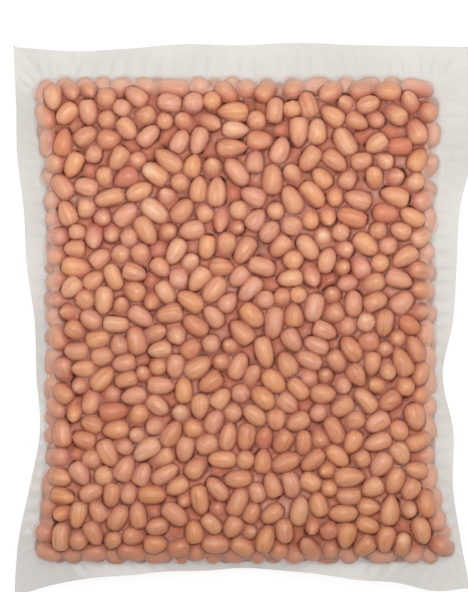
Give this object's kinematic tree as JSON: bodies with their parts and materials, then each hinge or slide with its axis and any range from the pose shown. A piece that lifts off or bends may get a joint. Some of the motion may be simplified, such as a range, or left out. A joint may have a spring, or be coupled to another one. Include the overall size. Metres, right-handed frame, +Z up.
{
  "type": "vacuum bag of peanut kernels",
  "caption": "Clear vacuum-sealed bag packed full of raw skin-on peanut kernels, lying flat, with a thin wavy sealed border of film all round.",
  "frame": {"origin": "on the table, under the middle of the bag's box", "axes": "+X to the right and +Y to the top edge as seen from above, +Z up out of the shown side"},
  "size_m": [0.2304, 0.2768, 0.0355],
  "materials": {
    "peanut_skin": "papery pinkish-tan seed skin with fine veins, satin under the film",
    "clear_film": "clear, slightly milky heat-sealed film, soft gloss"
  },
  "bodies": {
    "root": {"peanut_bag": "peanut_skin"}
  },
  "joints": []
}
